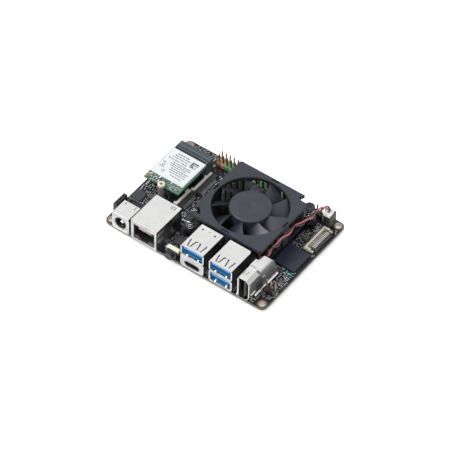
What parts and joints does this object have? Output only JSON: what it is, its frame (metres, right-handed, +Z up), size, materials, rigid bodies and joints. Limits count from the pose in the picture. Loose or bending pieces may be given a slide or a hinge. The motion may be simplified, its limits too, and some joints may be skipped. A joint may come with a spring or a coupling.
{
  "type": "single board computer",
  "caption": "Bare single board computer with a fan cooler held by sprung pins, a plug-in wireless card, large sockets along one edge and a long pin header along the other.",
  "frame": {"origin": "middle of the outline, at the height of the tips of the solder tails that the board stands on", "axes": "+X along the long edge, from the power jack towards the video socket; -Y is the edge with the large sockets; +Z up from the board's component side"},
  "size_m": [0.1, 0.074, 0.0192],
  "materials": {
    "solder_mask": "satin black solder mask over copper",
    "chip_epoxy": "moulded epoxy",
    "status_light": "clear resin",
    "thermal_pad": "soft silicone pad",
    "heatsink_metal": "black anodised",
    "fan_plastic": "fine matte moulding",
    "motor_board": "green circuit board",
    "core_steel": "laminated steel",
    "bearing_brass": "sintered",
    "black_plastic": "satin moulding",
    "spring_steel": "bright wire and pins",
    "white_plastic": "nylon moulding",
    "red_wire": "smooth insulation",
    "black_wire": "smooth insulation",
    "plated_steel": "tin plated sheet",
    "blue_plastic": "blue moulding",
    "cream_plastic": "cream moulding",
    "brown_plastic": "dark brown moulding",
    "slate_plastic": "slate moulding",
    "card_green": "green solder mask",
    "label_white": "printed paper label",
    "dark_metal": "blackened",
    "pale_brass": "pale plating"
  },
  "bodies": {
    "board": {"button_body": "black_plastic", "button_frame": "cream_plastic", "camera_socket_back": "black_plastic", "camera_socket_front": "black_plastic", "card_screw": "pale_brass", "card_shield": "label_white", "card_socket": "slate_plastic", "card_standoff": "dark_metal", "debug_header": "black_plastic", "display_socket": "cream_plastic", "ethernet_insert": "black_plastic", "ethernet_shell": "plated_steel", "fan_bearing": "bearing_brass", "fan_coil_core": "core_steel", "fan_cover": "fan_plastic", "fan_header": "black_plastic", "fan_motor_base": "motor_board", "fan_plug": "white_plastic", "fan_wire_black": "black_wire", "fan_wire_red": "red_wire", "gpio_header": "black_plastic", "heatsink": "heatsink_metal", "inductor_left": "chip_epoxy", "inductor_right": "chip_epoxy", "jack_housing": "black_plastic", "jack_pin": "spring_steel", "jack_shell": "plated_steel", "main_board": "solder_mask", "memory_card_socket": "plated_steel", "memory_chip": "chip_epoxy", "port_chip": "chip_epoxy", "power_chip": "chip_epoxy", "power_header": "black_plastic", "processor": "chip_epoxy", "push_pin_spring_back": "spring_steel", "push_pin_spring_front": "spring_steel", "service_header": "black_plastic", "status_light": "status_light", "storage_chip": "chip_epoxy", "thermal_pad": "thermal_pad", "usb_left_shell": "plated_steel", "usb_left_tongue": "blue_plastic", "usb_right_lower_tongue": "blue_plastic", "usb_right_shell": "plated_steel", "usb_right_upper_tongue": "blue_plastic", "usb_small_shell": "plated_steel", "usb_small_tongue": "black_plastic", "video_insert": "black_plastic", "video_shell": "plated_steel", "wireless_card": "card_green"},
    "fan": {"fan_rotor": "fan_plastic", "fan_shaft": "spring_steel"},
    "power_button": {"button_plunger": "black_plastic"},
    "push_pin_front": {"push_pin_front": "black_plastic"},
    "push_pin_back": {"push_pin_back": "black_plastic"},
    "camera_latch_front": {"camera_latch_front": "cream_plastic"},
    "camera_latch_back": {"camera_latch_back": "cream_plastic"},
    "display_latch": {"display_latch": "brown_plastic"}
  },
  "joints": [
    {"name": "fan_spin", "type": "hinge", "parent": "board", "child": "fan", "pos_m": [0.0118, 0.006, 0.0132], "axis": [0, 0, 1], "continuous": true},
    {"name": "power_button_press", "type": "slide", "parent": "board", "child": "power_button", "axis": [0, 1, 0], "range_m": [0, 0.0005], "stiffness_N_per_m": 3000},
    {"name": "push_pin_front_slide", "type": "slide", "parent": "board", "child": "push_pin_front", "axis": [0, 0, 1], "range_m": [-0.002, 0], "stiffness_N_per_m": 800, "deforming": ["push_pin_spring_front"]},
    {"name": "push_pin_back_slide", "type": "slide", "parent": "board", "child": "push_pin_back", "axis": [0, 0, 1], "range_m": [-0.002, 0], "stiffness_N_per_m": 800, "deforming": ["push_pin_spring_back"]},
    {"name": "camera_latch_front_flip", "type": "hinge", "parent": "board", "child": "camera_latch_front", "pos_m": [-0.0258, -0.0055, 0.0053], "axis": [0, 1, 0], "range_deg": [0, 90]},
    {"name": "camera_latch_back_flip", "type": "hinge", "parent": "board", "child": "camera_latch_back", "pos_m": [-0.0244, 0.0076, 0.0053], "axis": [0, 1, 0], "range_deg": [0, 90]},
    {"name": "display_latch_flip", "type": "hinge", "parent": "board", "child": "display_latch", "pos_m": [0.0451, 0.0103, 0.0053], "axis": [0, -1, 0], "range_deg": [0, 90]}
  ]
}
